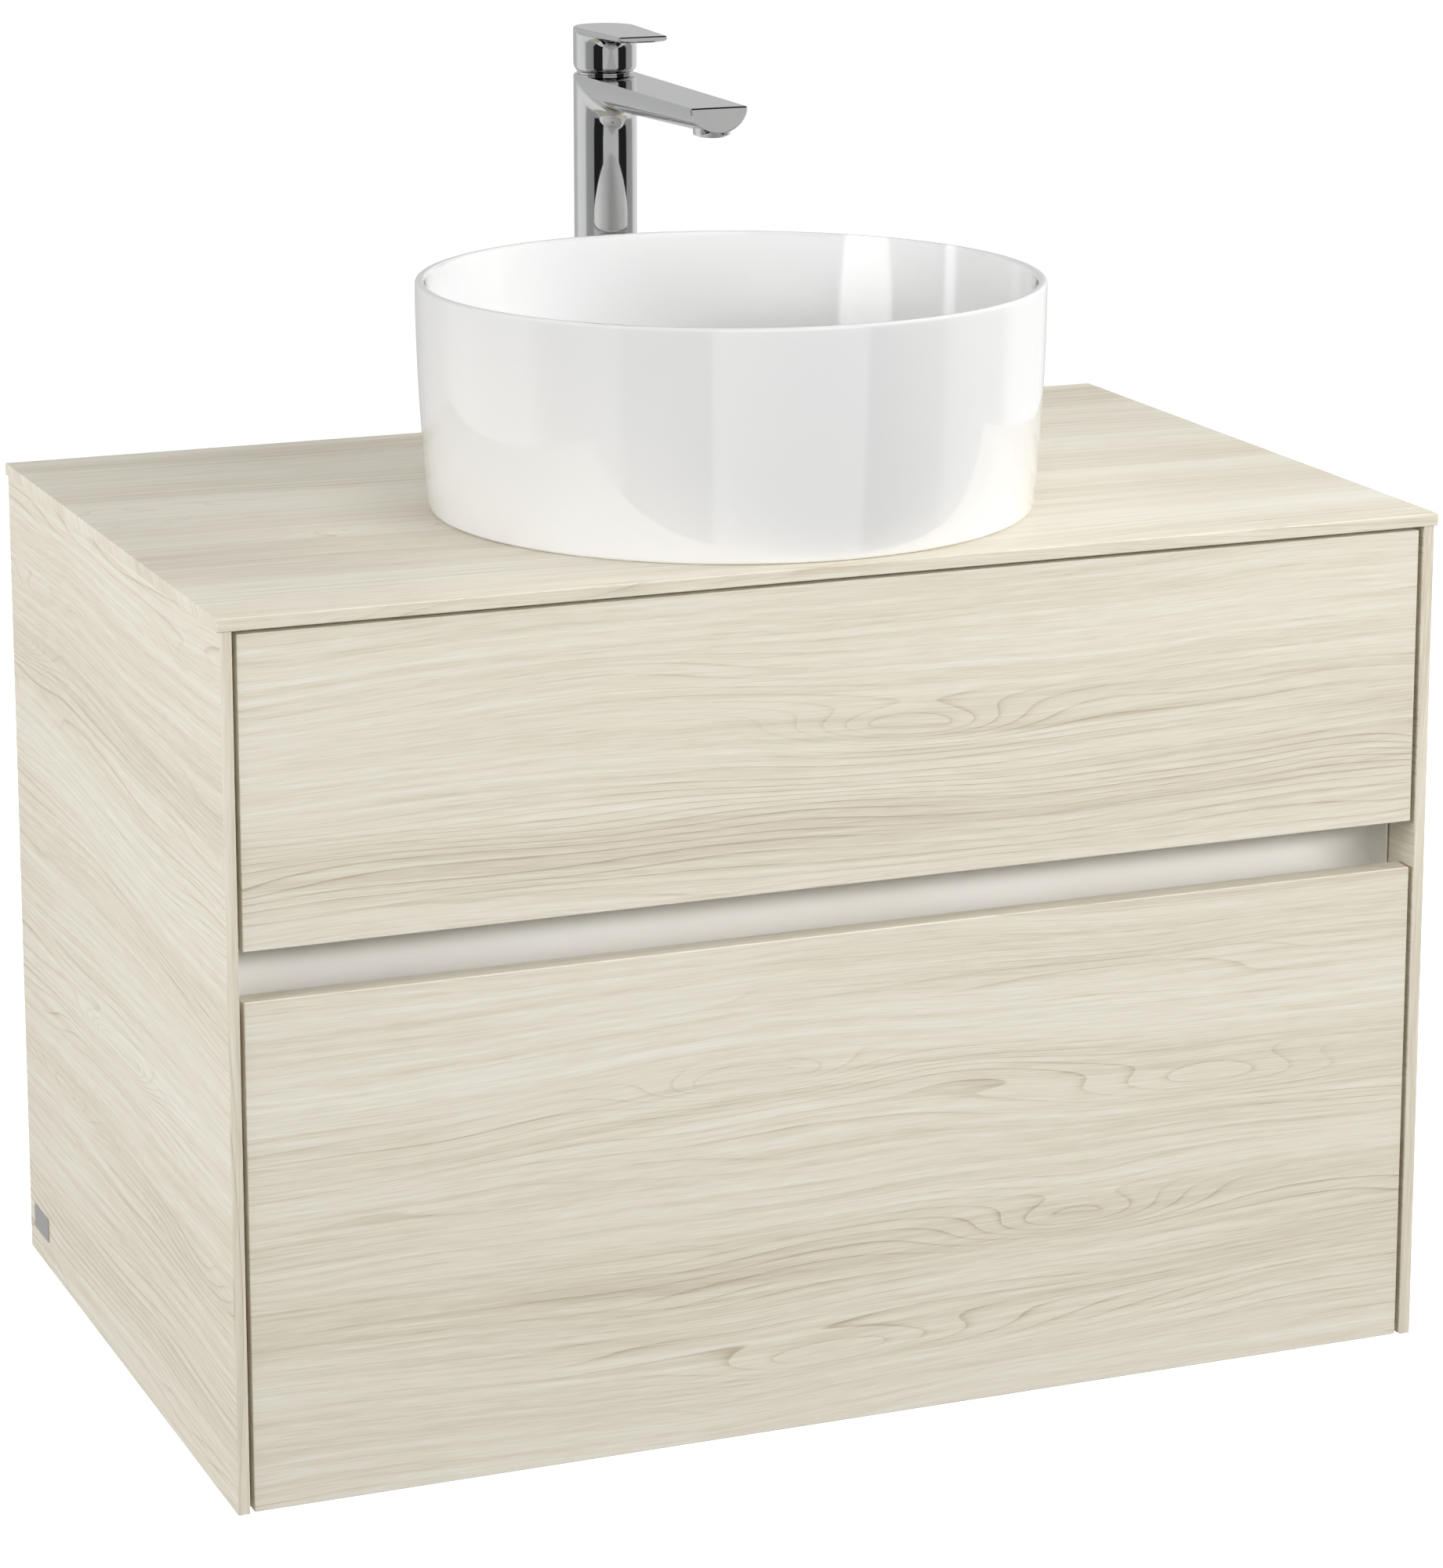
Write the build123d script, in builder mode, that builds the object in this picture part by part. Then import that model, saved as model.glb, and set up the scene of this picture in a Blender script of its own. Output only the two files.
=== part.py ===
from build123d import *
import os
from math import radians, sqrt, tan

os.makedirs("parts", exist_ok=True)

# A wall-hung vanity with two drawers, a vessel basin on its countertop and a tall single-lever faucet.
# Millimetres. The origin is on the wall, at the centre of the four wall screws.
# +X is the user's right, -Y points out into the room, +Z is up.

# ---- driving dimensions: cabinet ----
width = 800.0
depth = 500.0
top_z = 70.0  # upper face of the countertop, above the wall screws' centre
top_thick = 8.0
cabinet_height = 548.0  # upper face of the countertop to the lowest edge of the cabinet
overhang = 2.0  # countertop past the end panels
end_thick = 7.5  # visible end panels
side_thick = 15.0  # carcass sides behind them
board = 16.0  # carcass top, bottom and rails
front_thick = 16.0
front_half = 387.65
shadow_gap = 2.5  # between the countertop and the upper front
upper_front_height = 190.0
recess_gap = 30.5  # open height between the two fronts
edge_round = 0.8

# ---- driving dimensions: drawers and runners ----
drawer_board = 12.0
drawer_floor = 8.0
drawer_back_y = -90.0
runner_space = 13.0  # between the carcass side and the drawer side
runner_height = 45.0
runner_steel = 1.2
drawer_travel = 380.0  # full extension, for the joints in the record

# ---- driving dimensions: basin, waste and trap ----
basin_y = -297.0
rim_radius = 200.0
foot_radius = 193.0
basin_height = 145.0
wall_curve = 1500.0  # radius of the basin's slightly bellied side
rim_thick = 6.0
waste_bore = 23.0
pipe_r = 16.0

# ---- driving dimensions: faucet ----
tap_y = -72.3
tap_r = 21.25
body_height = 250.0
lever_top = 281.3
spout_reach = 205.1
lever_reach = 71.8
lift_angle = 20.0
pivot_height = 249.0  # of the lever's tilt axis, above the countertop

# ---- planes and edges worked out from them ----
under_top = top_z - top_thick
low_z = top_z - cabinet_height
x_out = width / 2 - overhang
x_end = x_out - end_thick
x_in = x_end - side_thick
front_y = -depth + 2.5  # faces of the drawer fronts
box_y = front_y + front_thick  # back of the fronts, where the drawer boxes start
carcass_y = box_y + 3.5
end_y = -depth + 1.2
upper_top = under_top - shadow_gap
upper_low = upper_top - upper_front_height
lower_top = upper_low - recess_gap
drawer_out = x_in - runner_space
drawer_in = drawer_out - drawer_board
SIDES = {"left": -1, "right": 1}


def keep(piece, node):
    """Label one finished piece and write it to its own file."""
    piece.part.label = node
    export_step(piece.part, f"parts/{node}.step")


def block(low, high, mode=Mode.ADD):
    """Add a rectangular block between two opposite corners to the piece being built, or cut it away."""
    centre = tuple((a + b) / 2 for a, b in zip(low, high))
    size = [b - a for a, b in zip(low, high)]
    with Locations(centre):
        Box(*size, mode=mode)


def mirrored(side, low, high):
    """Corners of a block on the right, or of its twin on the left."""
    if SIDES[side] > 0:
        return low, high
    return (-high[0], low[1], low[2]), (-low[0], high[1], high[2])


def easing(piece, radius):
    """Round every edge of a plain board a little."""
    fillet(piece.edges(), radius)


# ================================ cabinet ================================

# Countertop: one thin board with a waste hole under the basin and a tap hole behind it.
waste_hole_r = 36.0
tap_hole_r = 17.5
with BuildPart() as countertop:
    block((-width / 2, -depth, under_top), (width / 2, 0, top_z))
    easing(countertop, edge_round)
    with Locations((0, basin_y, top_z)):
        Hole(waste_hole_r)
    with Locations((0, tap_y, top_z)):
        Hole(tap_hole_r)
keep(countertop, "countertop")

# End panels: thin visible boards that cover the carcass sides.
for side in SIDES:
    with BuildPart() as end_panel:
        block(*mirrored(side, (x_end, end_y, low_z), (x_out, 0, under_top)))
        fillet(end_panel.edges().filter_by(Axis.Z).group_by(Axis.Y)[0], edge_round)
    keep(end_panel, f"end_panel_{side}")

# The handle channel sits in notches in the carcass sides, behind the gap between the fronts.
channel_lip_y = -depth + 34
channel_back_y = channel_lip_y + 34
channel_wall = 1.5
channel_over = 14.0  # hidden height above and below the gap
channel_top = upper_low + channel_over
channel_low = lower_top - channel_over
channel_round = 18.0
notch_play = 2.0

# Screws that hold the carcass sides to the boards between them: (y, z) of each.
rail_y = (-36.0, -20.0)
rail_mid = sum(rail_y) / 2
upper_rail = (-50.0, under_top - board)
lower_rail = (low_z + board, low_z + board + 80)
board_rows = [under_top - board / 2, low_z + board / 2]
screw_places = [(y, z) for z in board_rows for y in (-420.0, -250.0, -80.0)]
screw_places += [(rail_mid, z) for z in (upper_rail[0] + 10, lower_rail[0] + 20, lower_rail[1] - 20)]
screw_r = 2.5
screw_head_r = 5.0
screw_head = 3.0
screw_length = 45.0
screw_grip = screw_length - side_thick  # length inside the board that it holds


def screw_holes(side):
    """Cut the screws' holes, running in from one side, out of the board being built."""
    for y, z in screw_places:
        face = Plane((SIDES[side] * x_in, y, z), x_dir=(0, 1, 0), z_dir=(-SIDES[side], 0, 0))
        with BuildSketch(face) as hole:
            Circle(screw_r)
        extrude(hole.sketch, amount=screw_grip, mode=Mode.SUBTRACT)


for side in SIDES:
    with BuildPart() as carcass_side:
        block(*mirrored(side, (x_in, carcass_y, low_z), (x_end, 0, under_top)))
        notch_low = (x_in, carcass_y, channel_low - notch_play)
        notch_high = (x_end, channel_back_y + channel_wall + notch_play, channel_top + notch_play)
        block(*mirrored(side, notch_low, notch_high), mode=Mode.SUBTRACT)
        for y, z in screw_places:
            face = Plane((SIDES[side] * x_end, y, z), x_dir=(0, 1, 0), z_dir=(SIDES[side], 0, 0))
            with Locations(face):
                CounterBoreHole(screw_r, screw_head_r, screw_head)
    keep(carcass_side, f"carcass_side_{side}")

# Carcass top: a full board under the countertop, cut out round the waste and the tap fixing.
waste_cutout_r = 55.0
tap_cutout_r = 32.0
with BuildPart() as carcass_top:
    block((-x_in, carcass_y, under_top - board), (x_in, rail_y[1], under_top))
    with Locations((0, basin_y, under_top)):
        Hole(waste_cutout_r)
    with Locations((0, tap_y, under_top)):
        Hole(tap_cutout_r)
    for side in SIDES:
        screw_holes(side)
keep(carcass_top, "carcass_top")

with BuildPart() as carcass_bottom:
    block((-x_in, carcass_y, low_z), (x_in, rail_y[1], low_z + board))
    for side in SIDES:
        screw_holes(side)
keep(carcass_bottom, "carcass_bottom")

# Back rails stand 20 mm off the wall. The upper one is cut away at its ends, round the hangers.
hanger_window = (322.0, -30.0)  # inner x and lower z of the cut-away
with BuildPart() as back_rail_upper:
    block((-x_in, rail_y[0], upper_rail[0]), (x_in, rail_y[1], upper_rail[1]))
    for side in SIDES:
        window_low = (hanger_window[0], rail_y[0], hanger_window[1])
        window_high = (x_in, rail_y[1], upper_rail[1])
        block(*mirrored(side, window_low, window_high), mode=Mode.SUBTRACT)
        screw_holes(side)
keep(back_rail_upper, "back_rail_upper")

with BuildPart() as back_rail_lower:
    block((-x_in, rail_y[0], lower_rail[0]), (x_in, rail_y[1], lower_rail[1]))
    for side in SIDES:
        screw_holes(side)
keep(back_rail_lower, "back_rail_lower")

with BuildPart() as carcass_screws:
    for side in SIDES:
        for y, z in screw_places:
            head_face = Plane((SIDES[side] * x_end, y, z), x_dir=(0, 1, 0), z_dir=(-SIDES[side], 0, 0))
            with BuildSketch(head_face):
                Circle(screw_head_r)
            extrude(amount=screw_head)
            with BuildSketch(head_face):
                Circle(screw_r)
            extrude(amount=screw_length)
keep(carcass_screws, "carcass_screws")

# Wall plates: pressed steel, two screw holes each, with an upturned lip for the hangers.
wall_hole_x = 340.0
wall_hole_z = 20.0
wall_hole_r = 4.5
plate_steel = 2.5
lip_gap = 7.0
lip_top = 39.0
with BuildPart() as wall_plates:
    for side in SIDES:
        block(*mirrored(side, (324, -plate_steel, -32), (372, 0, 34)))
        block(*mirrored(side, (324, -plate_steel - lip_gap, 31.5), (372, -plate_steel, 34)))
        block(*mirrored(side, (324, -2 * plate_steel - lip_gap, 31.5), (372, -plate_steel - lip_gap, lip_top)))
        with Locations(Plane((SIDES[side] * wall_hole_x, 0, 0), x_dir=(1, 0, 0), z_dir=(0, 1, 0))):
            with Locations((0, wall_hole_z), (0, -wall_hole_z)):
                Hole(wall_hole_r)
keep(wall_plates, "wall_plates")

# Cabinet hangers: a body on each carcass side, with an arm over the plate's lip and a tooth behind it.
with BuildPart() as cabinet_hangers:
    for side in SIDES:
        block(*mirrored(side, (x_in - 18, -60, -28), (x_in, -14, under_top - board)))
        block(*mirrored(side, (x_in - 16, -14, lip_top + 0.4), (x_in - 4, -4.6, 43.5)))
        block(*mirrored(side, (x_in - 16, -7.6, 34.4), (x_in - 4, -4.6, 43.5)))
keep(cabinet_hangers, "cabinet_hangers")

# Handle channel: a white rolled section, open to the front, with rounded inner corners.
channel_half = x_end - 2.5


def channel_section(start, inset):
    """The channel's outer outline at inset 0, or the hollow inside its wall, in the plane x = start."""
    span = channel_back_y + channel_wall - channel_lip_y
    height = channel_top - channel_low - 2 * inset
    with BuildSketch(Plane.YZ.offset(start)) as outline:
        with Locations((channel_lip_y + span / 2 - inset, (channel_top + channel_low) / 2)):
            Rectangle(span, height)
        fillet(outline.vertices().group_by(Axis.X)[-1], channel_round + channel_wall - inset)
    return outline.sketch


with BuildPart() as handle_channel:
    extrude(channel_section(-channel_half, 0), amount=2 * channel_half)
    extrude(channel_section(-channel_half, channel_wall), amount=2 * channel_half, mode=Mode.SUBTRACT)
keep(handle_channel, "handle_channel")

cap_thick = 1.5
with BuildPart() as channel_end_caps:
    for side in SIDES:
        start = channel_half if SIDES[side] > 0 else -channel_half - cap_thick
        extrude(channel_section(start, 0), amount=cap_thick)
keep(channel_end_caps, "channel_end_caps")

# Angle brackets between the channel's back and the carcass sides.
bracket_steel = 2.0
bracket_z = ((channel_top + channel_low) / 2 - 18, (channel_top + channel_low) / 2 + 18)
with BuildPart() as channel_brackets:
    for side in SIDES:
        back = channel_back_y + channel_wall
        leg_y = back + notch_play
        block(*mirrored(side, (x_in - 32, back, bracket_z[0]), (x_in, back + bracket_steel, bracket_z[1])))
        block(
            *mirrored(
                side,
                (x_in - bracket_steel, leg_y, bracket_z[0]),
                (x_in, leg_y + 30, bracket_z[1]),
            )
        )
keep(channel_brackets, "channel_brackets")

# Badge: a plain metal plate near the lower rear corner of the left end panel.
badge_size = (0.8, 36.0, 16.5)
with BuildPart() as badge_plate:
    block((-x_out - badge_size[0], -50, -459.5), (-x_out, -50 + badge_size[1], -459.5 + badge_size[2]))
    fillet(badge_plate.edges().filter_by(Axis.X), 0.6)
keep(badge_plate, "badge_plate")

# ================================ drawers ================================

box_levels = {"upper": (-112.0, 36.0), "lower": (-455.0, -235.0)}
front_levels = {"upper": (upper_low, upper_top), "lower": (low_z, lower_top)}
runner_levels = {"upper": -38.0, "lower": -398.0}
runner_y = (carcass_y + 2, drawer_back_y + 14)
trap_wall = 6.0
trap_bay = (70.0, -366.0)  # inner half-width and inner front face of the bay round the trap
bay_round = 30.0


def bay(grow, height, mode=Mode.ADD):
    """Raise the plan of the bay round the trap, open at the drawer's back, from the drawer's underside."""
    half = trap_bay[0] + grow
    front = trap_bay[1] - grow
    with BuildSketch(Plane.XY.offset(box_levels["upper"][0])) as plan:
        with Locations((0, (front + drawer_back_y) / 2)):
            Rectangle(2 * half, drawer_back_y - front)
        fillet(plan.vertices().group_by(Axis.Y)[0], bay_round + grow)
    extrude(plan.sketch, amount=height, mode=mode)


def c_rail(x_web, x_tip, half_height, y0, y1, level):
    """Add one runner member per side: an upright web with a flange at its top and bottom."""
    for side in SIDES:
        step = 1 if x_web > x_tip else -1
        web = sorted((x_web, x_web - step * runner_steel))
        reach = sorted((x_web, x_tip))
        block(*mirrored(side, (web[0], y0, level - half_height), (web[1], y1, level + half_height)))
        for low in (level - half_height, level + half_height - runner_steel):
            block(*mirrored(side, (reach[0], y0, low), (reach[1], y1, low + runner_steel)))


for drawer in ("upper", "lower"):
    box_low, box_high = box_levels[drawer]
    front_low, front_high = front_levels[drawer]
    inner_low = box_low + drawer_floor

    with BuildPart() as drawer_front:
        block((-front_half, front_y, front_low), (front_half, box_y, front_high))
        easing(drawer_front, edge_round)
    keep(drawer_front, f"{drawer}_drawer_front")

    for side in SIDES:
        with BuildPart() as drawer_side:
            block(*mirrored(side, (drawer_in, box_y, box_low), (drawer_out, drawer_back_y, box_high)))
            fillet(drawer_side.edges().filter_by(Axis.Y).group_by(Axis.Z)[-1], 1.5)
        keep(drawer_side, f"{drawer}_drawer_side_{side}")

    with BuildPart() as drawer_back:
        block(
            (-drawer_in, drawer_back_y - drawer_board, box_low),
            (drawer_in, drawer_back_y, box_high),
        )
        if drawer == "upper":
            bay(trap_wall, box_high - box_low, Mode.SUBTRACT)
    keep(drawer_back, f"{drawer}_drawer_back")

    with BuildPart() as drawer_base:
        block((-drawer_in, box_y, box_low), (drawer_in, drawer_back_y - drawer_board, inner_low))
        if drawer == "upper":
            bay(trap_wall, drawer_floor, Mode.SUBTRACT)
    keep(drawer_base, f"{drawer}_drawer_floor")

    # Angle brackets that hold the front to the sides.
    bracket_mid = (box_low + box_high) / 2
    with BuildPart() as front_brackets:
        for side in SIDES:
            low, high = bracket_mid - 25, bracket_mid + 25
            block(*mirrored(side, (drawer_in - 28, box_y, low), (drawer_in, box_y + 2, high)))
            block(*mirrored(side, (drawer_in - 2, box_y, low), (drawer_in, box_y + 32, high)))
    keep(front_brackets, f"{drawer}_front_brackets")

    # The middle and drawer members of the runners: each slides inside the one before it.
    level = runner_levels[drawer]
    with BuildPart() as middle_rail:
        c_rail(x_in - 3, x_in - 11, runner_height / 2 - 3.5, runner_y[0] + 2, runner_y[1] - 2, level)
    keep(middle_rail, f"{drawer}_runner_middle_rails")
    with BuildPart() as drawer_rail:
        c_rail(drawer_out, drawer_out + 7, runner_height / 2 - 12.5, runner_y[0] + 4, runner_y[1] - 18, level)
    keep(drawer_rail, f"{drawer}_runner_drawer_rails")

# The cabinet members of both pairs of runners.
with BuildPart() as runner_cabinet_rails:
    for drawer in runner_levels:
        c_rail(x_in, x_in - 9.5, runner_height / 2, runner_y[0], runner_y[1], runner_levels[drawer])
keep(runner_cabinet_rails, "runner_cabinet_rails")

# The upper drawer's bay: a bent plastic wall that leaves room for the trap.
with BuildPart() as trap_bay_wall:
    bay_height = box_levels["upper"][1] - box_levels["upper"][0]
    bay(trap_wall, bay_height)
    bay(0, bay_height, Mode.SUBTRACT)
keep(trap_bay_wall, "upper_drawer_bay_wall")

# ================================ basin and waste ================================

bowl_round = 42.0
bowl_floor = 18.0  # above the countertop, at the waste
waste_sink = 3.0
foot_recess = 3.0


def turned(z_base):
    """The half-plane in which a turned piece's profile is drawn: across is radius, up is height."""
    return Plane((0, basin_y, z_base), x_dir=(1, 0, 0), z_dir=(0, -1, 0))


basin_axis = Axis((0, basin_y, 0), (0, 0, 1))

with BuildPart() as basin:
    with BuildSketch(turned(top_z)) as profile:
        with BuildLine():
            inner_r = rim_radius - rim_thick
            belly = wall_curve - sqrt(wall_curve**2 - (basin_height / 2) ** 2)
            side_mid = (rim_radius - belly, basin_height / 2)
            ThreePointArc((foot_radius, 0), side_mid, (rim_radius, basin_height))
            Polyline(
                (rim_radius, basin_height),
                (inner_r, basin_height),
                (inner_r - 5, bowl_floor + 4.5),
                (36, bowl_floor),
                (34, bowl_floor - waste_sink),
                (waste_bore, bowl_floor - waste_sink),
                (waste_bore, foot_recess),
                (foot_radius - 9, foot_recess),
                (foot_radius - 9, 0),
                (foot_radius, 0),
            )
        make_face()
        for point, radius in (
            ((foot_radius, 0), 2.5),
            ((rim_radius, basin_height), 2.4),
            ((inner_r, basin_height), 2.4),
            ((inner_r - 5, bowl_floor + 4.5), bowl_round),
        ):
            fillet(profile.vertices().sort_by_distance(point)[0], radius)
    revolve(axis=basin_axis)
keep(basin, "basin")

# Waste: a flanged tube through the basin, sealed on both faces, with a hub on three spokes for the cover.
flange_r = 32.0
flange_thick = 2.0
seal_thick = 1.0
waste_r = 20.95
waste_inner = 17.0
waste_length = 74.0
hub_bore = 4.06
seat_z = bowl_floor - waste_sink
flange_top = seat_z + seal_thick + flange_thick
hub_top = -2.0
with BuildPart() as waste_body:
    with BuildSketch(turned(top_z)) as profile:
        with Locations((waste_inner, flange_top - waste_length)):
            Rectangle(waste_r - waste_inner, waste_length, align=Align.MIN)
        with Locations((waste_inner, seat_z + seal_thick)):
            Rectangle(flange_r - waste_inner, flange_thick, align=Align.MIN)
    revolve(axis=basin_axis)
    with BuildSketch(Plane.XY.offset(top_z + hub_top - 6)):
        with Locations((0, basin_y)):
            Circle(7)
            with PolarLocations(0, 3):
                Rectangle(waste_inner + 1, 3, align=(Align.MIN, Align.CENTER))
            Circle(hub_bore, mode=Mode.SUBTRACT)
    extrude(amount=6)
keep(waste_body, "waste_body")

# Seals: rubber rings above and below the basin's floor, and a foam ring under its foot.
with BuildPart() as basin_seals:
    for low, thick, outer, inner in (
        (seat_z, seal_thick, flange_r, waste_bore + 0.5),
        (-1, foot_recess + 1, 33.0, waste_r),
        (0, foot_recess, foot_radius - 9, foot_radius - 25),
    ):
        with BuildSketch(Plane.XY.offset(top_z + low)):
            with Locations((0, basin_y)):
                Circle(outer)
                Circle(inner, mode=Mode.SUBTRACT)
        extrude(amount=thick)
keep(basin_seals, "basin_seals")

with BuildPart() as waste_nut:
    with BuildSketch(Plane.XY.offset(top_z - 13)):
        with Locations((0, basin_y)):
            RegularPolygon(31, 8)
            Circle(waste_r, mode=Mode.SUBTRACT)
    extrude(amount=12)
keep(waste_nut, "waste_nut")

# Waste cover: a shallow dome with a stem that stands in the hub and lifts straight out.
cover_r = 31.0
cover_low = flange_top + 4.0
cover_edge = cover_low + 1.2
cover_rise = 4.0
cover_dome = (cover_r**2 + cover_rise**2) / (2 * cover_rise)
stem_r = 4.0
with BuildPart() as waste_cover:
    with BuildSketch(turned(top_z)):
        with BuildLine():
            Polyline(
                (0, cover_edge + cover_rise),
                (0, hub_top - 9),
                (stem_r, hub_top - 9),
                (stem_r, hub_top + 0.3),
                (6.5, hub_top + 0.3),
                (6.5, cover_low),
                (cover_r, cover_low),
                (cover_r, cover_edge),
            )
            dome_mid = (cover_r / 2, cover_edge + cover_rise - cover_dome + sqrt(cover_dome**2 - cover_r**2 / 4))
            ThreePointArc((cover_r, cover_edge), dome_mid, (0, cover_edge + cover_rise))
        make_face()
    revolve(axis=basin_axis)
keep(waste_cover, "waste_cover")

# ================================ trap ================================

outlet_z = top_z - 150.0
bottle_r = 33.0
bottle_wall = 2.5
socket_r = 19.5
waste_end = flange_top - waste_length
tail_top = waste_end + 12
tail_low = -200.0


def ring_stack(steps, centre_y=basin_y):
    """Add turned rings on an upright axis: (low, high, outer radius, inner radius), z from the countertop."""
    for low, high, outer, inner in steps:
        with BuildSketch(Plane.XY.offset(top_z + low)) as ring:
            with Locations((0, centre_y)):
                Circle(outer)
                if inner > 0:
                    Circle(inner, mode=Mode.SUBTRACT)
        extrude(ring.sketch, amount=high - low)


with BuildPart() as tailpiece:
    ring_stack([(tail_low, tail_top, pipe_r, pipe_r - 1.5)])
keep(tailpiece, "tailpiece")

with BuildPart() as tailpiece_nut:
    ring_stack([(waste_end, waste_end + 14, 26, waste_r), (waste_end - 8, waste_end, 26, pipe_r)])
    fillet(tailpiece_nut.edges().filter_by(GeomType.CIRCLE).sort_by(Axis.Z)[-1], 0.6)
keep(tailpiece_nut, "tailpiece_nut")

bottle_top = -118.0
bottle_low = -190.0
socket_end = basin_y + 52
with BuildPart() as trap_body:
    ring_stack(
        [
            (bottle_low, bottle_top, bottle_r, bottle_r - bottle_wall),
            (bottle_top, bottle_top + 3, bottle_r, pipe_r),
            (bottle_top + 3, bottle_top + 14, socket_r, pipe_r),
        ]
    )
    outlet_face = Plane((0, basin_y + bottle_r - 6, outlet_z), x_dir=(1, 0, 0), z_dir=(0, 1, 0))
    with BuildSketch(outlet_face):
        Circle(socket_r)
    extrude(amount=socket_end - outlet_face.origin.Y)
    with BuildSketch(Plane.XY.offset(top_z + bottle_low)):
        with Locations((0, basin_y)):
            Circle(bottle_r - bottle_wall)
    extrude(amount=bottle_top - bottle_low, mode=Mode.SUBTRACT)
    with BuildSketch(outlet_face):
        Circle(pipe_r - 1.5)
    extrude(amount=socket_end - outlet_face.origin.Y, mode=Mode.SUBTRACT)
keep(trap_body, "trap_body")

with BuildPart() as trap_cup:
    ring_stack(
        [
            (bottle_low - 30, bottle_low - 27, bottle_r + 3, 0),
            (bottle_low - 27, bottle_low + 12, bottle_r + 3, bottle_r),
        ]
    )
    fillet(trap_cup.edges().group_by(Axis.Z)[0], 2.4)
keep(trap_cup, "trap_cup")

# Two like nuts: one closes the trap's inlet round the tailpiece, the other its outlet round the pipe.
nut_grip = 10.0
nut_lip = 6.0
nut_r = 24.5
inlet_rim = bottle_top + 14
with BuildPart() as trap_nuts:
    ring_stack([(inlet_rim - nut_grip, inlet_rim, nut_r, socket_r), (inlet_rim, inlet_rim + nut_lip, nut_r, pipe_r)])
    for start, length, inner in ((socket_end - nut_grip, nut_grip, socket_r), (socket_end, nut_lip, pipe_r)):
        with BuildSketch(Plane((0, start, outlet_z), x_dir=(1, 0, 0), z_dir=(0, 1, 0))):
            Circle(nut_r)
            Circle(inner, mode=Mode.SUBTRACT)
        extrude(amount=length)
keep(trap_nuts, "trap_nuts")

# Outlet pipe: straight back from the trap to the wall, with a bead that stops it in the wall's socket.
bead_y = (-50.0, -47.0)
with BuildPart() as outlet_pipe:
    for start, stop, outer in ((socket_end, 0, pipe_r), (*bead_y, pipe_r + 1.5)):
        with BuildSketch(Plane((0, start, outlet_z), x_dir=(1, 0, 0), z_dir=(0, 1, 0))):
            Circle(outer)
            Circle(pipe_r - 1.5, mode=Mode.SUBTRACT)
        extrude(amount=stop - start)
keep(outlet_pipe, "outlet_pipe")

# ================================ faucet ================================

base_seal = 1.0
cartridge_r = 17.5
cartridge_low = 216.0
inlet_r = 4.5
inlet_depth = 13.0
inlet_places = [(-6.0, tap_y - 3.0), (6.0, tap_y - 3.0)]
stud_y = tap_y + 9.5
stud_r = 4.0
aerator_y = tap_y - 192.2
aerator_bore = 8.6
spout_tip = tap_y - spout_reach
spout_bore_z = 241.5


def spout_section(y, half_width, drop):
    """Spout section at this y: flat on top, half an ellipse below."""
    with BuildSketch(Plane((0, y, top_z + body_height), x_dir=(1, 0, 0), z_dir=(0, -1, 0))) as section:
        with BuildLine():
            Line((half_width, 0), (-half_width, 0))
            EllipticalCenterArc((0, 0), half_width, drop, start_angle=180, arc_size=180)
        make_face()
    return section.sketch


with BuildPart() as faucet_body:
    with BuildSketch(Plane.XY.offset(top_z + base_seal)):
        with Locations((0, tap_y)):
            Circle(tap_r)
    extrude(amount=body_height - base_seal)
    loft([spout_section(tap_y, tap_r - 0.05, 23.0), spout_section(spout_tip, 19.5, 16.8)])
    # Boss for the aerator, under the tip.
    with BuildSketch(Plane.XY.offset(top_z + 231)):
        with Locations((0, aerator_y)):
            Circle(12)
    extrude(amount=10)
    # Cartridge chamber, water ways, inlets, stud hole and aerator seat.
    with BuildSketch(Plane.XY.offset(top_z + cartridge_low)):
        with Locations((0, tap_y)):
            Circle(cartridge_r)
    extrude(amount=body_height - cartridge_low, mode=Mode.SUBTRACT)
    with BuildSketch(Plane.XY.offset(top_z + base_seal)):
        with Locations(*inlet_places):
            Circle(inlet_r)
    extrude(amount=inlet_depth, mode=Mode.SUBTRACT)
    with BuildSketch(Plane.XY.offset(top_z + base_seal)):
        with Locations(*inlet_places):
            Circle(inlet_r - 0.5)
    extrude(amount=cartridge_low, mode=Mode.SUBTRACT)
    with BuildSketch(Plane.XY.offset(top_z + base_seal)):
        with Locations((0, stud_y)):
            Circle(stud_r)
    extrude(amount=15, mode=Mode.SUBTRACT)
    with BuildSketch(Plane((0, tap_y - 10, top_z + spout_bore_z), x_dir=(1, 0, 0), z_dir=(0, -1, 0))):
        Circle(4.5)
    extrude(amount=tap_y - 10 - aerator_y, mode=Mode.SUBTRACT)
    with BuildSketch(Plane.XY.offset(top_z + 231)):
        with Locations((0, aerator_y)):
            Circle(aerator_bore)
    extrude(amount=8, mode=Mode.SUBTRACT)
    with BuildSketch(Plane.XY.offset(top_z + 231)):
        with Locations((0, aerator_y)):
            Circle(4.5)
    extrude(amount=spout_bore_z - 231, mode=Mode.SUBTRACT)
keep(faucet_body, "faucet_body")


with BuildPart() as faucet_base_seal:
    ring_stack([(0, base_seal, tap_r - 0.6, tap_hole_r)], tap_y)
keep(faucet_base_seal, "faucet_base_seal")

with BuildPart() as mounting_stud:
    ring_stack([(-48, 14, stud_r, 0)], stud_y)
keep(mounting_stud, "mounting_stud")

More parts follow.
